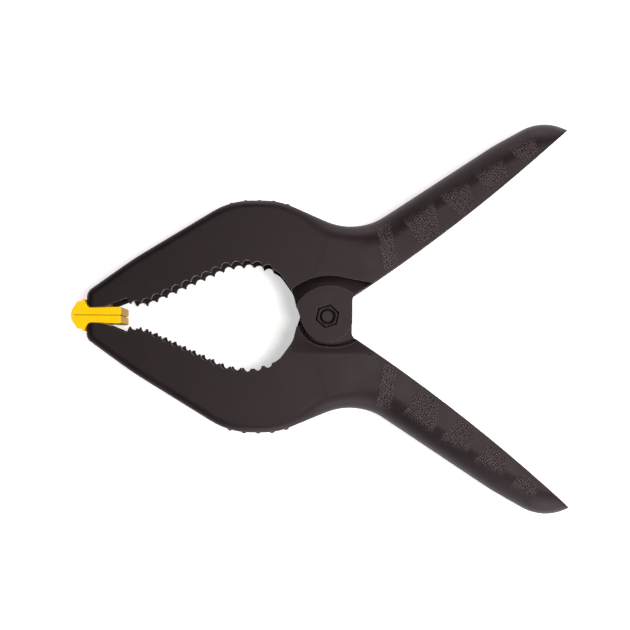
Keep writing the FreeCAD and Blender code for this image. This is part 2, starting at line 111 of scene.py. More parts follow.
camera_data = bpy.data.cameras.new("camera")
camera_data.sensor_width = sensor_mm
camera_data.lens = focal_px / picture_px * sensor_mm
camera = bpy.data.objects.new("camera", camera_data)
turn = Matrix((row_x, row_y, row_z)).to_4x4()
camera.matrix_world = Matrix.Translation(stand) @ turn
bpy.context.scene.collection.objects.link(camera)
bpy.context.scene.camera = camera
print("lens", round(camera_data.lens, 1), "mm, stand", [round(v, 3) for v in stand])

# %% [markdown]
# ## From arrays to meshes
#
# Every new surface here is a grid of points that numpy works out at once. A grid has rows and
# columns, and its faces join each point to its neighbours. One helper makes these faces, and
# closes a tube by joining the last column to the first. The other makes the object, and puts
# values such as a pebble's height on its points.

# %% Grid helpers
def grid_faces(rows, columns, closed=False):
    """Corner numbers of the quads of a grid, row by row, as an array of four columns."""
    row = np.arange(rows - 1)[:, None]
    column = np.arange(columns if closed else columns - 1)[None, :]
    following = (column + 1) % columns
    corners = [row * columns + column, row * columns + following]
    corners += [(row + 1) * columns + following, (row + 1) * columns + column]
    return np.stack(corners, -1).reshape(-1, 4)


def new_piece(name, points, faces, values=None):
    """A smooth object from points in metres, faces, and named values of the points."""
    mesh = bpy.data.meshes.new(name)
    mesh.from_pydata(np.asarray(points).tolist(), [], faces)
    mesh.polygons.foreach_set("use_smooth", np.ones(len(mesh.polygons), bool))
    for label, numbers in (values or {}).items():
        layer = mesh.attributes.new(label, "FLOAT", "POINT")
        layer.data.foreach_set("value", np.asarray(numbers, float).ravel())
    mesh.update()
    piece = bpy.data.objects.new(name, mesh)
    bpy.context.scene.collection.objects.link(piece)
    print(name, len(points), "points", len(faces), "faces")
    return piece


# %% [markdown]
# ## The table
#
# The clamp lies on a plain white table, which is one large flat sheet. It lies 0.3 mm below the
# levers' flat sides, because the clamp rests on the pebbles of its handles. Its white comes
# from its own colour and from a little glow that only the camera, mirrors and glass see, so
# no more light falls on the clamp, and the soft shadow under it stays.

# %% Table
table_half = 3.0
table_top = -0.3 * mm
table_corners = [
    (-table_half, -table_half, table_top),
    (table_half, -table_half, table_top),
    (table_half, table_half, table_top),
    (-table_half, table_half, table_top),
]
table = new_piece("table", table_corners, [[0, 1, 2, 3]])


# %% The table's white
def new_material(name):
    """A material with an empty node tree but for its shader and output."""
    material = bpy.data.materials.new(name)
    material.use_nodes = True
    nodes = material.node_tree.nodes
    nodes.clear()
    output = nodes.new("ShaderNodeOutputMaterial")
    shader = nodes.new("ShaderNodeBsdfPrincipled")
    material.node_tree.links.new(shader.outputs["BSDF"], output.inputs["Surface"])
    return material, shader, output


table_white = 0.88
table_glow = 0.55


def white_table(glow_strength):
    """Matt white that glows a little to the camera, and to mirrors and glass."""
    material, shader, output = new_material("white_table")
    nodes, links = material.node_tree.nodes, material.node_tree.links
    shader.inputs["Base Color"].default_value = (table_white, table_white, table_white, 1)
    shader.inputs["Roughness"].default_value = 0.9
    shader.inputs["Specular IOR Level"].default_value = 0.0
    glow = nodes.new("ShaderNodeEmission")
    rays = nodes.new("ShaderNodeLightPath")
    seen = rays.outputs["Is Camera Ray"]
    for way in ("Is Glossy Ray", "Is Transmission Ray"):
        either = nodes.new("ShaderNodeMath")
        either.operation = "MAXIMUM"
        links.new(seen, either.inputs[0])
        links.new(rays.outputs[way], either.inputs[1])
        seen = either.outputs[0]
    scale = nodes.new("ShaderNodeMath")
    scale.operation = "MULTIPLY"
    scale.inputs[1].default_value = glow_strength
    links.new(seen, scale.inputs[0])
    links.new(scale.outputs[0], glow.inputs["Strength"])
    both = nodes.new("ShaderNodeAddShader")
    links.new(shader.outputs["BSDF"], both.inputs[0])
    links.new(glow.outputs["Emission"], both.inputs[1])
    links.new(both.outputs["Shader"], output.inputs["Surface"])
    return material


table.data.materials.append(white_table(table_glow))

# %% [markdown]
# ## The light
#
# Dark plastic shows its form mostly by what it mirrors. A small soft lamp hangs above, to the
# right. The flat sides of the levers mirror it, most at the handles and less towards the jaws.
# Where a spine starts to round it mirrors the dark room, and at its very edge the white table
# and the lamps that stand round it: two in front, one beyond, and a weak violet one at the
# right corner. A large bright room would also work, but it would grey the whole clamp.

# %% World and lamps
room_light = 0.05
world = bpy.data.worlds.new("studio")
world.use_nodes = True
background = world.node_tree.nodes["Background"]
background.inputs["Color"].default_value = (1, 1, 1, 1)
background.inputs["Strength"].default_value = room_light
bpy.context.scene.world = world


def soft_lamp(name, place, size, power, tint):
    """A square lamp that faces the pivot: its place and size in metres, its power in watts."""
    data = bpy.data.lights.new(name, "AREA")
    data.shape = "SQUARE"
    data.size = size
    data.energy = power
    data.color = tint
    lamp = bpy.data.objects.new(name, data)
    lamp.location = place
    lamp.rotation_euler = (pivot - Vector(place)).to_track_quat("-Z", "Y").to_euler()
    bpy.context.scene.collection.objects.link(lamp)
    print(name, power, "W from", size, "m")


soft_lamp("lamp_above", (0.27, -0.05, 1.1), 0.28, 9.0, (1.0, 0.97, 0.94))
soft_lamp("lamp_below", (0.2, -1.0, 0.3), 0.8, 11.0, (0.98, 0.90, 1.0))
soft_lamp("lamp_below_high", (0.15, -0.75, 0.7), 0.4, 2.0, (0.98, 0.84, 1.0))
soft_lamp("lamp_beyond", (0.1, 1.0, 0.22), 0.7, 7.5, (1.0, 0.84, 0.93))
soft_lamp("lamp_corner", (0.55, 0.45, 0.85), 0.3, 2.0, (0.95, 0.8, 1.0))

bpy.context.scene.view_settings.view_transform = "Standard"

# %% [markdown]
# ## Effects that several finishes share
#
# Three things happen on many surfaces of the clamp. Moulded nylon has a fine matt grain and
# clouds of slightly paler and darker plastic. No real edge is quite sharp, so a thin line of
# light runs along it. And turned or drawn metal has fine marks. Each is a node group, made
# once and set with its own numbers in each finish. A group gives out only values and normals.

# %% Node group helper
def new_group(name, numbers, outputs):
    """A node group with number inputs and named outputs, and its input and output nodes."""
    group = bpy.data.node_groups.new(name, "ShaderNodeTree")
    for label, value in numbers.items():
        socket = group.interface.new_socket(label, in_out="INPUT", socket_type="NodeSocketFloat")
        socket.default_value = value
    for label, kind in outputs.items():
        group.interface.new_socket(label, in_out="OUTPUT", socket_type=kind)
    return group, group.nodes.new("NodeGroupInput"), group.nodes.new("NodeGroupOutput")


def placed(tree, kind, **settings):
    """A new node with some of its properties set."""
    node = tree.nodes.new(kind)
    for label, value in settings.items():
        setattr(node, label, value)
    return node


def maths(tree, operation, first, second=None, clamp=False):
    """A maths node whose inputs are sockets or numbers, and its result."""
    node = placed(tree, "ShaderNodeMath", operation=operation, use_clamp=clamp)
    for socket, value in zip(node.inputs, (first, second)):
        if isinstance(value, (int, float)):
            socket.default_value = value
        elif value is not None:
            tree.links.new(value, socket)
    return node.outputs[0]


# %% Moulded grain
def moulded_grain():
    """Fine grain as a height, and wide soft clouds as a shade round one half."""
    numbers = {"Grain Scale": 2200.0, "Cloud Scale": 70.0, "Cloud Contrast": 1.0}
    outputs = {"Height": "NodeSocketFloat", "Shade": "NodeSocketFloat"}
    group, given, result = new_group("moulded_grain", numbers, outputs)
    place = placed(group, "ShaderNodeTexCoord").outputs["Object"]
    fine = placed(group, "ShaderNodeTexNoise")
    fine.inputs["Detail"].default_value = 3.0
    fine.inputs["Roughness"].default_value = 0.6
    clouds = placed(group, "ShaderNodeTexNoise")
    clouds.inputs["Detail"].default_value = 5.0
    clouds.inputs["Roughness"].default_value = 0.62
    for noise, label in ((fine, "Grain Scale"), (clouds, "Cloud Scale")):
        group.links.new(place, noise.inputs["Vector"])
        group.links.new(given.outputs[label], noise.inputs["Scale"])
    swing = maths(group, "SUBTRACT", clouds.outputs[0], 0.5)
    swing = maths(group, "MULTIPLY", swing, given.outputs["Cloud Contrast"])
    group.links.new(maths(group, "ADD", swing, 0.5, clamp=True), result.inputs["Shade"])
    group.links.new(fine.outputs[0], result.inputs["Height"])
    return group


# %% Soft edges
def soft_edges():
    """The normal of a surface with its edges rounded off, and a mask that is 1 along them."""
    numbers = {"Radius": 0.5 * mm, "Reach": 4.0}
    outputs = {"Normal": "NodeSocketVector", "Edge": "NodeSocketFloat"}
    group, given, result = new_group("soft_edges", numbers, outputs)
    rounded = placed(group, "ShaderNodeBevel", samples=6)
    group.links.new(given.outputs["Radius"], rounded.inputs["Radius"])
    true_side = placed(group, "ShaderNodeNewGeometry").outputs["Normal"]
    same = placed(group, "ShaderNodeVectorMath", operation="DOT_PRODUCT")
    group.links.new(rounded.outputs["Normal"], same.inputs[0])
    group.links.new(true_side, same.inputs[1])
    apart = maths(group, "SUBTRACT", 1.0, same.outputs["Value"])
    edge = maths(group, "MULTIPLY", apart, given.outputs["Reach"], clamp=True)
    group.links.new(edge, result.inputs["Edge"])
    group.links.new(rounded.outputs["Normal"], result.inputs["Normal"])
    return group


# %% Turned marks
def turned_marks():
    """Fine rings round the pivot axis as a height, from the distance to the axis."""
    numbers = {"Axis X": pivot.x, "Axis Y": pivot.y, "Rings": 5000.0}
    group, given, result = new_group("turned_marks", numbers, {"Height": "NodeSocketFloat"})
    place = placed(group, "ShaderNodeTexCoord").outputs["Object"]
    parts = placed(group, "ShaderNodeSeparateXYZ")
    group.links.new(place, parts.inputs[0])
    x = maths(group, "SUBTRACT", parts.outputs["X"], given.outputs["Axis X"])
    y = maths(group, "SUBTRACT", parts.outputs["Y"], given.outputs["Axis Y"])
    squares = maths(group, "ADD", maths(group, "MULTIPLY", x, x), maths(group, "MULTIPLY", y, y))
    rings = placed(group, "ShaderNodeTexNoise", noise_dimensions="1D")
    rings.inputs["Detail"].default_value = 2.0
    group.links.new(maths(group, "SQRT", squares), rings.inputs["W"])
    group.links.new(given.outputs["Rings"], rings.inputs["Scale"])
    group.links.new(rings.outputs[0], result.inputs["Height"])
    return group


grain_group, edge_group, ring_group = moulded_grain(), soft_edges(), turned_marks()
print("groups", grain_group.name, edge_group.name, ring_group.name)

# %% [markdown]
# ## Finishes
#
# A finish puts the groups together in front of one shader. The clouds choose between a darker
# and a paler colour, the soft edges give the normal that the grain is laid on, and the mask of
# the edges adds a paler colour that is partly wear and partly a painted highlight. The yellow
# pads have a finer grain and rounder edges than the nylon, and a weaker sheen, which keeps
# their colour deep.

# %% Finish helpers
def place_group(tree, group, **numbers):
    """A group node in a tree with some of its inputs set, names written with underscores."""
    node = placed(tree, "ShaderNodeGroup", node_tree=group)
    for label, value in numbers.items():
        node.inputs[label.replace("_", " ")].default_value = value
    return node


def between(tree, share, dark, pale):
    """A colour between two colours, chosen by a value from 0 to 1. A colour may be a socket."""
    mix = placed(tree, "ShaderNodeMix", data_type="RGBA")
    tree.links.new(share, mix.inputs["Factor"])
    for socket, colour in ((mix.inputs[6], dark), (mix.inputs[7], pale)):
        if isinstance(colour, tuple):
            socket.default_value = (*colour, 1)
        else:
            tree.links.new(colour, socket)
    return mix.outputs[2]


def spread(tree, share, low, high):
    """A number between two numbers, chosen by a value from 0 to 1."""
    return maths(tree, "ADD", maths(tree, "MULTIPLY", share, high - low), low)


def emboss(tree, shader, height, depth, under):
    """Lay a height as relief on a normal, and give the result to the shader."""
    bump = placed(tree, "ShaderNodeBump")
    bump.inputs["Distance"].default_value = depth
    tree.links.new(height, bump.inputs["Height"])
    tree.links.new(under, bump.inputs["Normal"])
    tree.links.new(bump.outputs["Normal"], shader.inputs["Normal"])


# Share of the paler edge colour, which is partly wear and partly a painted highlight.
wear_and_highlight_share = 0.8


def moulded(name, colours, roughness, edge_radius, depth, cloud_scale, contrast):
    """Moulded plastic: clouds between a dark and a pale colour, edges paler with wear and a
    painted highlight, fine grain.
    """
    dark, pale, worn_and_highlight, sheen, sheen_strength = colours
    material, shader, _ = new_material(name)
    tree = material.node_tree
    grain = place_group(tree, grain_group, Cloud_Scale=cloud_scale, Cloud_Contrast=contrast)
    edges = place_group(tree, edge_group, Radius=edge_radius)
    base = between(tree, grain.outputs["Shade"], dark, pale)
    # Paler edges: partly wear, partly a painted highlight along the rounded edges.
    edge_wear_and_highlight = maths(tree, "MULTIPLY", edges.outputs["Edge"], wear_and_highlight_share)
    tree.links.new(between(tree, edge_wear_and_highlight, base, worn_and_highlight), shader.inputs["Base Color"])
    shader.inputs["Specular IOR Level"].default_value = sheen_strength
    shader.inputs["Specular Tint"].default_value = (*sheen, 1)
    tree.links.new(spread(tree, grain.outputs["Shade"], *roughness), shader.inputs["Roughness"])
    emboss(tree, shader, grain.outputs["Height"], depth, edges.outputs["Normal"])
    return material, shader


def metal(name, dark, pale, roughness, metallic, edge_radius, depth, marks, sheen=0.5, grime=0.0):
    """Turned or drawn metal: rings as a height, clouds of tarnish, duller rounded edges."""
    material, shader, _ = new_material(name)
    tree = material.node_tree
    grain = place_group(tree, grain_group, Cloud_Scale=250.0, Cloud_Contrast=1.6)
    edges = place_group(tree, edge_group, Radius=edge_radius)
    rings = place_group(tree, ring_group, Rings=marks)
    base = between(tree, grain.outputs["Shade"], dark, pale)
    tree.links.new(base, shader.inputs["Base Color"])
    dull = maths(tree, "MULTIPLY", edges.outputs["Edge"], grime)
    rough = maths(tree, "ADD", spread(tree, grain.outputs["Shade"], *roughness), dull, clamp=True)
    tree.links.new(rough, shader.inputs["Roughness"])
    shader.inputs["Metallic"].default_value = metallic
    shader.inputs["Specular IOR Level"].default_value = sheen
    shader.inputs["Specular Tint"].default_value = (1.0, 0.9, 0.86, 1)
    emboss(tree, shader, rings.outputs["Height"], depth, edges.outputs["Normal"])
    return material


# %% The finishes of the CAD nodes
# Colours of a plastic: darker and paler clouds, edges paler with wear and a painted highlight, the
# sheen's tint and its strength.
nylon = (
    (0.005, 0.0034, 0.003),
    (0.010, 0.0072, 0.0063),
    (0.22, 0.185, 0.175),
    (1.0, 0.83, 0.85),
    0.22,
)
yellow = (
    (0.92, 0.50, 0.0),
    (1.0, 0.60, 0.004),
    (1.0, 0.68, 0.03),
    (1.0, 0.9, 0.6),
    0.12,
)
# Least and greatest roughness, then the grain's depth, the clouds' scale and their contrast.
nylon_rough, nylon_grain = (0.43, 0.54), (0.035 * mm, 60.0, 2.0)
yellow_rough, yellow_grain = (0.42, 0.55), (0.01 * mm, 160.0, 1.2)
finishes = {
    "lever_nylon": moulded("lever_nylon", nylon, nylon_rough, 0.28 * mm, *nylon_grain)[0],
    "pad_plastic": moulded("pad_plastic", yellow, yellow_rough, 0.4 * mm, *yellow_grain)[0],
    "spring_steel": metal(
        "spring_steel",
        dark=(0.30, 0.29, 0.28),
        pale=(0.46, 0.45, 0.44),
        roughness=(0.28, 0.45),
        metallic=1.0,
        edge_radius=0.1 * mm,
        depth=0.004 * mm,
        marks=3000.0,
    ),
    "blackened_steel": metal(
        "blackened_steel",
        dark=(0.009, 0.0065, 0.006),
        pale=(0.016, 0.012, 0.011),
        roughness=(0.43, 0.54),
        metallic=0.0,
        edge_radius=0.5 * mm,
        depth=0.012 * mm,
        marks=2600.0,
        sheen=0.19,
        grime=0.7,
    ),
    "sleeve_steel": metal(
        "sleeve_steel",
        dark=(0.5, 0.5, 0.5),
        pale=(0.62, 0.62, 0.62),
        roughness=(0.25, 0.4),
        metallic=1.0,
        edge_radius=0.15 * mm,
        depth=0.006 * mm,
        marks=4000.0,
    ),
}
for entry in record["subparts"]:
    node = frame["nodes"][entry["node"]]
    node.data.materials.clear()
    node.data.materials.append(finishes[entry["material_slot"]])
print("finishes", sorted(finishes))

# %% [markdown]
# ## The spring
#
# The real spring is one round wire: a straight leg in the lower handle, three turns and a bit
# round the sleeve, and a straight leg in the upper handle. The CAD wire has flat sides, so a
# finer tube stands for it. Its centre line is worked out point by point along the wire's
# length, and a circle is carried along it. It could also be a curve object with a round bevel,
# but a mesh keeps the wire's ends closed.

# %% The wire's centre line
wire_diameter = 2.5
coil_radius = 9.2
coil_pitch = 3.35
leg_length = 58.0
leg_steps = 12
leg_slope = math.radians(44.39)
whole_turns = 3
turning = 2 * math.pi * whole_turns + math.pi - 2 * leg_slope


def coil_places(turned):
    """Points of the coil after angles from its lower end: a helix whose climb eases in and out."""
    ease = math.pi / 2
    climb = coil_pitch / (2 * math.pi)
    height = climb * (turning - ease)
    rise = np.where(turned < ease, climb * turned**2 / (2 * ease), climb * (turned - ease / 2))
    left = turning - turned
    rise = np.where(left < ease, height - climb * left**2 / (2 * ease), rise)
    angle = 3 * math.pi / 2 - leg_slope - turned
    z = (clamp_width - height) / 2 + rise
    return np.stack([coil_radius * np.cos(angle), coil_radius * np.sin(angle), z], -1)


def wire_line(steps):
    """The whole centre line: a leg, the coil and a leg, as points round the pivot."""
    coil = coil_places(np.linspace(0, turning, steps))
    reach = np.linspace(leg_length, 0, leg_steps)[:-1, None]
    low_way = np.array([-math.cos(leg_slope), math.sin(leg_slope), 0])
    high_way = np.array([math.cos(leg_slope), math.sin(leg_slope), 0])
    return np.concatenate([coil[:1] - low_way * reach, coil, coil[-1:] + high_way * reach[::-1]])


# %% The wire's tube
wire_sides = 24
wire_bevel = 0.2


def wire_tube(line, radius, sides):
    """A circle carried along a line, square to its direction, with a small bevel at both ends."""
    way = np.gradient(line, axis=0)
    way /= np.linalg.norm(way, axis=1, keepdims=True)
    across = np.cross(way, [0, 0, 1.0])
    across /= np.linalg.norm(across, axis=1, keepdims=True)
    upright = np.cross(across, way)
    bevel = wire_bevel * radius
    first, last = line[:1], line[-1:]
    rings = [first, first + way[:1] * bevel, line[1:-1], last - way[-1:] * bevel, last]
    middle = np.concatenate(rings)
    across, upright = (np.concatenate([v[:1], v, v[-1:]]) for v in (across, upright))
    swell = np.ones(len(middle))
    swell[[0, -1]] = 1 - bevel / radius
    angle = np.linspace(0, 2 * math.pi, sides, endpoint=False)[None, :, None]
    circle = across[:, None] * np.cos(angle) + upright[:, None] * np.sin(angle)
    return middle[:, None] + circle * (radius * swell)[:, None, None]


line = wire_line(steps=240)
tube = wire_tube(line, wire_diameter / 2, wire_sides)
spring_points = tube.reshape(-1, 3) * mm + bolt_line
first_ring = list(range(wire_sides))
last_ring = [len(spring_points) - 1 - k for k in range(wire_sides)]
spring_quads = grid_faces(len(tube), wire_sides, closed=True)[:, ::-1].tolist()
spring = new_piece("wound_spring", spring_points, spring_quads + [first_ring, last_ring])
spring.data.materials.append(finishes["spring_steel"])
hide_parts("torsion_spring")
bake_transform(spring)
print("wire from", round(line[0, 2], 2), "to", round(line[-1, 2], 2), "mm up the axis")

# %% [markdown]
# ## The nut
#
# The nut is pressed or turned from hexagon bar and lies in a pocket of the same shape. Its top
# edge is chamfered, and a narrow dark gap shows all round it. The CAD nut fills the pocket
# nearly to the edge, because it has to hold against turning. This one is a little smaller, so
# the gap is as wide as in the photo.

# %% The nut
def hexagon_ring(rows, count, turn):
    """Points and quads of a closed ring, from rows of (is it a hexagon, distance, height)."""
    angle = np.arange(count) * 2 * math.pi / count
    sixth = math.pi / 3
    reach = 1 / np.cos(angle % sixth - sixth / 2)
    turned = angle + math.radians(turn)
    spots = []
    for is_hexagon, distance, height in rows:
        radius = distance * (reach if is_hexagon else np.ones(count))
        flat = np.column_stack([radius * np.cos(turned), radius * np.sin(turned)])
        spots.append(np.column_stack([flat, np.full(count, height)]))
    corner = np.arange(len(rows) * count).reshape(len(rows), count)
    onward = np.roll(corner, -1, axis=0)
    quads = np.dstack([corner, np.roll(corner, -1, axis=1), np.roll(onward, -1, axis=1), onward])
    return np.concatenate(spots), quads.reshape(-1, 4)


nut_turn = 17.3
nut_low, nut_high = 25.8, 29.0
half_flats, half_top = 4.62, 4.5
bore, bore_mouth = 3.3, 3.6
chamfer_depth, mouth_depth = 0.15, 0.3
nut_rows = [
    (False, bore, nut_low),
    (True, half_flats, nut_low),
    (True, half_flats, nut_high - chamfer_depth),
    (True, half_top, nut_high),
    (False, bore_mouth, nut_high),
    (False, bore, nut_high - mouth_depth),
]
nut_points, nut_quads = hexagon_ring(nut_rows, count=192, turn=nut_turn)
nut = new_piece("nut", nut_points * mm + bolt_line, nut_quads.tolist())
nut.data.materials.append(finishes["blackened_steel"])
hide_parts("pivot_nut")
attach(nut, "upper_lever")

# %% [markdown]
# ## The handles' sides
#
# Each side of a handle bulges gently before its spine rounds over, and carries five patches of
# pebbles, like grained leather, between plain bands. One skin lies on each side, from the waist
# to the handle's end. Each of its rows runs straight across the handle, square to the outline,
# so each point knows how far it lies inside. The pebbles could be a bump in the finish, but as
# real relief they also catch a low light. The bulge is only a number on each point, which the
# finish turns into a slight tilt, because so small a slope shows in what it mirrors alone.

# %% Lines of the handle
spine_corners = np.array([(-23.2, 54.2), (14.2, 39.1), (78.0, 81.2), (101.0, 94.1), (133.2, 81.3)])
spine_radii = (29.0, 90.0, 22.0)
inner_corners = np.array([(20.4, 15.7), (61.3, 43.1), (124.7, 99.3)])
inner_radii, inner_step = (800.0,), 2.0
crescent_edge = np.array(
    [(-16.0, 13.4), (-12.0, 16.1), (-8.0, 17.9), (-4.0, 18.9), (1.2, 19.4), (9.0, 18.3)]
)


def travelled_along(points):
    """How far along a line each of its points lies."""
    steps = np.linalg.norm(np.diff(points, axis=0), axis=1)
    return np.concatenate([[0], np.cumsum(steps)])


def points_at(points, travelled, stops):
    """Places on a line after some distances along it."""
    return np.column_stack([np.interp(stops, travelled, points[:, k]) for k in (0, 1)])


def rounded_line(corners, radii, spacing, arc_steps=40):
    """Evenly spaced points along straight runs whose corners are arcs that touch both runs."""
    points = [corners[:1]]
    for before, corner, after, radius in zip(corners, corners[1:], corners[2:], radii):
        come = (corner - before) / np.linalg.norm(corner - before)
        go = (after - corner) / np.linalg.norm(after - corner)
        bend = math.atan2(come[0] * go[1] - come[1] * go[0], come @ go)
        side = np.array([-come[1], come[0]]) * math.copysign(1, bend)
        start = corner - come * radius * math.tan(abs(bend) / 2)
        angle = np.linspace(0, abs(bend), arc_steps)[:, None]
        points.append(start + radius * (np.sin(angle) * come + (1 - np.cos(angle)) * side))
    line = np.concatenate(points + [corners[-1:]])
    travelled = travelled_along(line)
    return points_at(line, travelled, np.arange(0, travelled[-1], spacing))


skin_step = 0.22
spine_line = rounded_line(spine_corners, spine_radii, skin_step)
inner_edge = rounded_line(inner_corners, inner_radii, inner_step)
inner_line = np.concatenate([crescent_edge, inner_edge])
print("lines of", len(spine_line), "and", len(inner_line), "points")

# %% Rows across the handle
skin_edge = 0.16
skin_from, skin_to = 1.0, 111.5
slack = 0.01


def depths(starts, ways):
    """How far each start lies from the inner line, going straight along its way."""
    along = np.diff(inner_line, axis=0)
    apart = inner_line[:-1][None] - starts[:, None]
    turn = ways[:, None, 0] * along[None, :, 1] - ways[:, None, 1] * along[None, :, 0]
    far = (apart[..., 0] * along[None, :, 1] - apart[..., 1] * along[None, :, 0]) / turn
    share = (apart[..., 0] * ways[:, None, 1] - apart[..., 1] * ways[:, None, 0]) / turn
    meets = (far > 0) & (share >= -slack) & (share <= 1 + slack)
    return np.where(meets, far, np.inf).min(axis=1)


def handle_plan(columns):
    """Plan points of the skin, outward directions, depths inside, and each row's distance."""
    way = np.gradient(spine_line, axis=0)
    way /= np.linalg.norm(way, axis=1, keepdims=True)
    kept = (spine_line[:, 0] > skin_from) & (spine_line[:, 0] < skin_to)
    line, outward = spine_line[kept], np.column_stack([-way[:, 1], way[:, 0]])[kept]
    deepest = depths(line, -outward)[:, None]
    inside = skin_edge + (deepest - skin_edge) * np.linspace(1, 0, columns)
    plan = line[:, None] - outward[:, None] * inside[..., None]
    return plan, outward, inside, np.arange(len(line)) * skin_step


# %% Height of the bulge
spine_round = 8.0
bulge_round = 12.0


def bulge(inside):
    """Height in millimetres, falling outwards: it tilts a spine of 8 mm radius like one of 12."""
    away = np.linspace(0.01, bulge_round, 400)
    rolled = np.arcsin(np.clip(1 - away / spine_round, 0, 1))
    wanted = np.arcsin(1 - away / bulge_round)
    slope = np.tan(wanted - rolled) / np.cos(rolled)
    height = np.concatenate([[0], np.cumsum((slope[1:] + slope[:-1]) / 2 * np.diff(away))])
    return np.interp(inside, away, height - height[-1])


# %% The pebbles
# A pattern of cells, one pebble in each: its two axes in millimetres, and shares of a cell.
pebble_axes = np.array([(0.83, 0.78), (-0.62, 0.66)])
pebble_height = 0.24
cell_margin, cell_spread = 0.15, 0.7
dome_reach, dome_gap = 0.75, 0.35
valley = 0.4
least_tone = 0.65
# Corners of the five patches: inner left, inner right, outer left and outer right.
patches = [
    [(26.2, 20.2), (32.5, 24.8), (22.6, 39.3), (30.2, 40.6)],
    [(43.0, 33.3), (53.1, 39.4), (36.0, 42.2), (50.1, 52.2)],
    [(61.9, 46.9), (69.0, 51.3), (53.2, 54.6), (66.2, 61.0)],
    [(74.9, 58.1), (85.2, 65.5), (69.0, 64.8), (82.8, 71.6)],
    [(91.4, 71.6), (99.2, 78.2), (86.2, 76.3), (97.5, 81.8)],
]
side_fade, inner_fade, spine_fade = 0.9, 0.8, 4.0
# Large uneven numbers, so that the sine of two neighbouring cells has nothing in common.
hash_turns = np.array([[127.1, 269.5], [311.7, 183.3]])
hash_gain = 43758.5453


def scattered(cell):
    """Repeatable numbers from 0 to 1 for the cells of a pattern, as a pair for each cell."""
    mixed = np.sin(cell @ hash_turns) * hash_gain
    return mixed - np.floor(mixed)


def pebbles(plan):
    """Crown from -0.4 in a valley to 1: a dome round each scattered point, cut where two meet.

    The pebbles are a little longer along the first of the two axes. A dome takes the patches'
    cover at its own middle, so there are only whole ones at a border.
    """
    spot = plan @ np.linalg.inv(pebble_axes)
    around = np.array([[i, j] for i in (-1, 0, 1) for j in (-1, 0, 1)])
    cells = np.floor(spot)[:, None] + around[None]
    points = cells + cell_margin + cell_spread * scattered(cells)
    gaps = np.linalg.norm(points - spot[:, None], axis=2)
    nearest = np.arange(len(plan)), gaps.argmin(axis=1)
    gaps = np.partition(gaps, 1, axis=1)
    dome = np.clip(1 - (gaps[:, 0] / dome_reach) ** 2, 0, 1)
    dome *= np.clip((gaps[:, 1] - gaps[:, 0]) / dome_gap, 0, 1)
    tone = least_tone + (1 - least_tone) * scattered(cells + 0.5)[nearest][:, 0]
    return patch_cover(points[nearest] @ pebble_axes) * ((1 + valley) * dome * tone - valley)


def beside(plan, first, second):
    """Distance of points to the left of a line from one place to another, in millimetres."""
    way = np.subtract(second, first) / np.linalg.norm(np.subtract(second, first))
    return (plan[:, 1] - first[1]) * way[0] - (plan[:, 0] - first[0]) * way[1]


def patch_cover(plan):
    """1 inside the patches, fading to 0 at their borders, and slowest over the spine."""
    cover = np.zeros(len(plan))
    for inner_left, inner_right, outer_left, outer_right in patches:
        right_of_left = -beside(plan, inner_left, outer_left)
        left_of_right = beside(plan, inner_right, outer_right)
        above_inner = beside(plan, inner_left, inner_right)
        below_outer = -beside(plan, outer_left, outer_right)
        sharp = np.clip(np.minimum(right_of_left, left_of_right) / side_fade, 0, 1)
        soft = np.clip(above_inner / inner_fade, 0, 1)
        soft *= np.clip(1 + below_outer / spine_fade, 0, 1)
        cover = np.maximum(cover, sharp * soft)
    return cover


# %% The grips' finish
skin_edge_radius = 0.05 * mm
# A painted highlight: the pebbles' crowns take this paler colour in place of the glints they
# catch.
crown_highlight_colour = (0.082, 0.068, 0.063)
crown_polish = 0.24
crown_start, crown_gain = 0.1, 1.6
fall_scale = 1.0 * mm


def pebbled_nylon():
    """The levers' nylon, glossier on crowns and paler there by a painted highlight, and tilted as
    the number `fall` says.
    """
    material, shader = moulded("pebbled_nylon", nylon, nylon_rough, skin_edge_radius, *nylon_grain)
    tree = material.node_tree
    crown = placed(tree, "ShaderNodeAttribute", attribute_name="crown").outputs["Fac"]
    plain = shader.inputs["Roughness"].links[0].from_socket
    rubbed = maths(tree, "SUBTRACT", plain, maths(tree, "MULTIPLY", crown, crown_polish))
    tree.links.new(rubbed, shader.inputs["Roughness"])
    # Painted highlight on the crowns: the colour turns paler as the crown rises above crown_start.
    colour_under_highlight = shader.inputs["Base Color"].links[0].from_socket
    top = maths(tree, "SUBTRACT", crown, crown_start)
    top = maths(tree, "MULTIPLY", top, crown_gain, clamp=True)
    tree.links.new(between(tree, top, colour_under_highlight, crown_highlight_colour), shader.inputs["Base Color"])
    fall = placed(tree, "ShaderNodeAttribute", attribute_name="fall").outputs["Fac"]
    grained = shader.inputs["Normal"].links[0].from_socket
    emboss(tree, shader, fall, fall_scale, grained)
    return material


grip_finish = pebbled_nylon()


# %% The skins
skin_columns = 122
skin_lift, skin_sink = 0.05, 0.02
skin_border = 1.5
steepest = 0.98
fade_from, fade_length = 4.0, 26.0


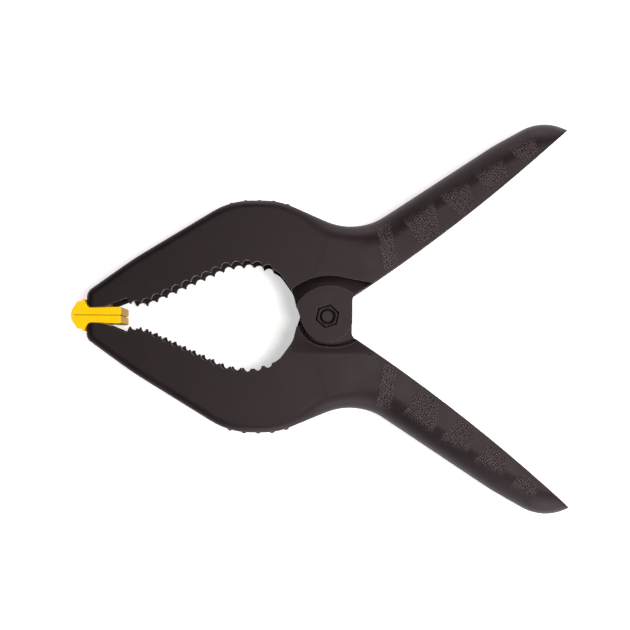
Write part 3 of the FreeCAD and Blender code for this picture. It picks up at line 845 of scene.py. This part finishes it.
def side_skin():
    """Places, faces, bulge heights and pebble crowns of the near skin of the upper handle."""
    plan, outward, inside, run = handle_plan(skin_columns)
    lean = np.clip(1 - inside / spine_round, 0, steepest)[..., None]
    rise = np.sqrt(1 - lean**2)
    place = np.dstack([plan, clamp_width - spine_round * (1 - rise)])
    out = np.dstack([outward[:, None] * lean, rise])
    crown = pebbles(plan.reshape(-1, 2)).reshape(inside.shape)
    end = np.minimum(run, run[-1] - run)[:, None]
    border = np.minimum(end, np.minimum(inside[:, :1] - inside, inside - skin_edge))
    lift = -skin_sink + skin_lift * np.clip(border / skin_border, 0, 1)
    lift = lift + np.maximum(crown, 0) * pebble_height
    start = np.clip((run - fade_from) / fade_length, 0, 1)[:, None]
    fall = bulge(inside) * start * start * (3 - 2 * start)
    places = (place + out * lift[..., None]).reshape(-1, 3)
    return places, grid_faces(*inside.shape), fall.ravel(), crown.ravel()


def lever_skin(name, places, faces, fall, body, crown=0.0):
    """A piece in the grips' finish that rides a lever, from places round the pivot."""
    values = {"crown": np.broadcast_to(crown, fall.shape), "fall": fall}
    piece = new_piece(name, places * mm + bolt_line, faces.tolist(), values)
    piece.data.materials.append(grip_finish)
    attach(piece, body)


skin_places, skin_quads, skin_fall, skin_crown = side_skin()


def side(name, side_y, near, body):
    """The skin of one side of one handle: the near upper one, or mirrored to its own place."""
    places = skin_places * [1, side_y, 1]
    if not near:
        places = places * [1, 1, -1] + [0, 0, clamp_width]
    quads = skin_quads[:, ::-1] if near == (side_y > 0) else skin_quads
    lever_skin(name, places, quads, skin_fall, body, skin_crown)


for near, place in ((True, "near"), (False, "far")):
    side("upper_handle_" + place, 1, near, "upper_lever")
    side("lower_handle_" + place, -1, near, "lower_lever")

# %% [markdown]
# ## The crescents
#
# Above each ear lies a hollow crescent. Its floor is deepest at the flank of the lever and
# comes up a little towards the ear's rim. The finish tilts the light outwards there, so the
# floor mirrors the dark room and looks darker than the flat faces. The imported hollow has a
# level floor and its mesh is not changed here, so a thin floor of its own lies over it. It is
# a grid between the ear's rim and the flank's rim, and its edges run down to the level floor.

# %% The crescents' floors
crescent_rim = 0.75
crescent_fall = 0.8
crescent_level = 1.62
crescent_tilt = 0.27
full_width, least_share = 2.0, 0.1
rim_centre, rim_radius = np.array([1.2, -4.2]), 18.35
rim_span, rim_end = (-14.35, 12.3), (20.6, 15.5)
flank_centre, flank_radius = np.array([1.2, -8.5]), 27.45
flank_span, flank_end = (-16.5, 9.0), (20.9, 15.7)


def arc_points(centre, radius, first_x, last_x, count=60):
    """Points on the upper half of a circle, from one X to another, evenly turned."""
    ends = [math.acos((x - centre[0]) / radius) for x in (first_x, last_x)]
    angle = np.linspace(*ends, count)[:, None]
    return centre + radius * np.hstack([np.cos(angle), np.sin(angle)])


def evened(points, count):
    """The same line through a number of points that lie evenly along it."""
    travelled = travelled_along(points)
    return points_at(points, travelled, np.linspace(0, travelled[-1], count))


def crescent_floor(rows, columns):
    """Places, faces and tilt of the near floor, with a border that runs down all round."""
    rim = arc_points(rim_centre, rim_radius, *rim_span)
    rim = evened(np.concatenate([rim, [rim_end]]), rows)
    flank = arc_points(flank_centre, flank_radius, *flank_span)
    flank = evened(np.concatenate([flank, [flank_end]]), rows)
    across = np.linspace(0, 1, columns)
    plan = rim[:, None] * (1 - across[None, :, None]) + flank[:, None] * across[None, :, None]
    width = np.linalg.norm(flank - rim, axis=1)[:, None]
    depth = crescent_rim + crescent_fall * across
    depth = np.clip(width / full_width, least_share, 1) * depth
    floor = np.dstack([plan, clamp_width - depth])
    floor = np.pad(floor, ((1, 1), (1, 1), (0, 0)), mode="edge")
    border = np.ones(floor.shape[:2], bool)
    border[1:-1, 1:-1] = False
    floor[border, 2] = clamp_width - crescent_level
    fall = -crescent_tilt * np.hypot(floor[..., 0], floor[..., 1])
    return floor.reshape(-1, 3), grid_faces(*border.shape)[:, ::-1], fall.ravel()


def turned_over(places):
    """The same places on the other lever, which is the same moulding turned over."""
    return places * [1, -1, -1] + [0, 0, clamp_width]


floor, floor_faces, floor_fall = crescent_floor(rows=90, columns=14)
lever_skin("upper_crescent", floor, floor_faces, floor_fall, "upper_lever")
lever_skin("lower_crescent", turned_over(floor), floor_faces, floor_fall, "lower_lever")

# %% [markdown]
# ## The dished rims
#
# Where an ear turns in the other lever's pocket, the face round the pocket is dished: it falls
# gently towards the gap, so it looks darker than the face. A mould gets this with a ball cutter.
# The dish is less than 1 mm deep, so a thin skin with the height on its points shows it well.

# %% The dished rims
dish_tilt, dish_soft = 0.3, 2.0
dish_edge = 17.9
dish_lift = 0.03
dish_span = (-16.6, 22.6)
pocket_radius = 14.6
swing_x, swing_y, swing_radius = 2.4, -8.4, 23.2
left_x, left_y, left_slope = -13.6, 5.7, -2.345
right_x, right_y, right_slope = 12.5, 10.4, 0.7


def dished_rim(rows, columns):
    """Places, faces and tilt of the near rim: columns go from the pocket to the flat face."""
    x = np.linspace(*dish_span, rows)
    round_rim = np.sqrt(np.clip(pocket_radius**2 - x**2, 0, None))
    swing_rim = np.sqrt(swing_radius**2 - (x - swing_x) ** 2) + swing_y
    left_rim = np.maximum(round_rim, left_y + left_slope * (x - left_x))
    right_rim = np.maximum(swing_rim, right_y + right_slope * (x - right_x))
    rim = np.where(x < 0, left_rim, right_rim)
    across = np.linspace(0, 1, columns)
    wide = (dish_edge - rim)[:, None]
    y = -(rim[:, None] + wide * across)
    lift = np.full(y.shape, dish_lift)
    lift[[0, -1]] = lift[:, [0, -1]] = -skin_sink
    places = np.dstack([np.broadcast_to(x[:, None], y.shape), y, clamp_width + lift])
    inner = dish_edge + y
    fall = np.hypot(x, dish_edge)[:, None] - np.hypot(x[:, None], y)
    rise = -dish_tilt * fall * inner / (inner + dish_soft)
    return places.reshape(-1, 3), grid_faces(*y.shape), rise.ravel()


dished, dished_faces, dished_fall = dished_rim(rows=160, columns=16)
lever_skin("lower_dish", dished, dished_faces, dished_fall, "lower_lever")
lever_skin("upper_dish", turned_over(dished), dished_faces, dished_fall, "upper_lever")
